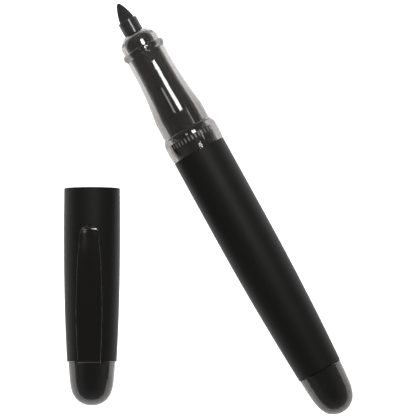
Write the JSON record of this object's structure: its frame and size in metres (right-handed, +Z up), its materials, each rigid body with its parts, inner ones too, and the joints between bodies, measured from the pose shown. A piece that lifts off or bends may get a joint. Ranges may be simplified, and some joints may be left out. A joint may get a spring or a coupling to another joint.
{
  "type": "felt tip marker",
  "caption": "Felt tip marker lying uncapped beside its cap: fibre nib, smoky clear grip and end domes, matte black barrel and cap sleeve, sprung metal clip.",
  "frame": {"origin": "on the table under the middle of the whole layout, marker and cap together", "axes": "+Y along the marker from its tail to its nib, +Z up from the table, +X to the right seen from above with the nib away from the viewer"},
  "size_m": [0.0666, 0.1212, 0.0166],
  "materials": {
    "black_enamel": "matte black enamel on thin metal tube",
    "smoke_plastic": "clear smoke-grey moulded plastic, polished",
    "black_plastic": "smooth black moulded plastic",
    "black_chrome": "dark polished plating",
    "inked_fibre": "bonded fibre soaked in black ink",
    "clear_film": "thin clear film and tube",
    "black_rubber": "soft black rubber"
  },
  "bodies": {
    "barrel": {"barrel_sleeve": "black_enamel", "barrel_liner": "black_plastic", "tail_dome": "smoke_plastic", "tail_stop": "black_plastic"},
    "front_unit": {"grip_section": "smoke_plastic", "nib_holder": "black_plastic", "fibre_nib": "inked_fibre", "section_o_ring": "black_rubber"},
    "reservoir": {"reservoir_wick": "inked_fibre", "reservoir_wrap": "clear_film", "breather_tube": "clear_film", "reservoir_plug": "black_plastic"},
    "cap": {"cap_sleeve": "black_enamel", "inner_cap": "black_plastic", "nose_seal": "black_rubber", "clip_bush": "black_plastic", "cap_dome": "smoke_plastic"},
    "clip": {"clip": "black_chrome"}
  },
  "joints": [
    {"name": "cap_swing", "type": "hinge", "parent": "barrel", "child": "cap", "pos_m": [0.01679, 0.03939, 0.00752], "axis": [0, 0, -1], "range_deg": [0, 151.2]},
    {"name": "section_slide", "type": "slide", "parent": "barrel", "child": "front_unit", "axis": [0, 1, 0], "range_m": [0, 0.0413]},
    {"name": "reservoir_slide", "type": "slide", "parent": "front_unit", "child": "reservoir", "axis": [0, -1, 0], "range_m": [0, 0.0108]},
    {"name": "clip_flex", "type": "hinge", "parent": "cap", "child": "clip", "pos_m": [-0.025, -0.0173, 0.01366], "axis": [0.8751, -0.4811, 0.0523], "range_deg": [0, 5], "stiffness_Nm_per_rad": 1.2}
  ],
  "couplings": [
    {"joint": "reservoir_slide", "follows": "section_slide", "ratio": 0.26}
  ]
}
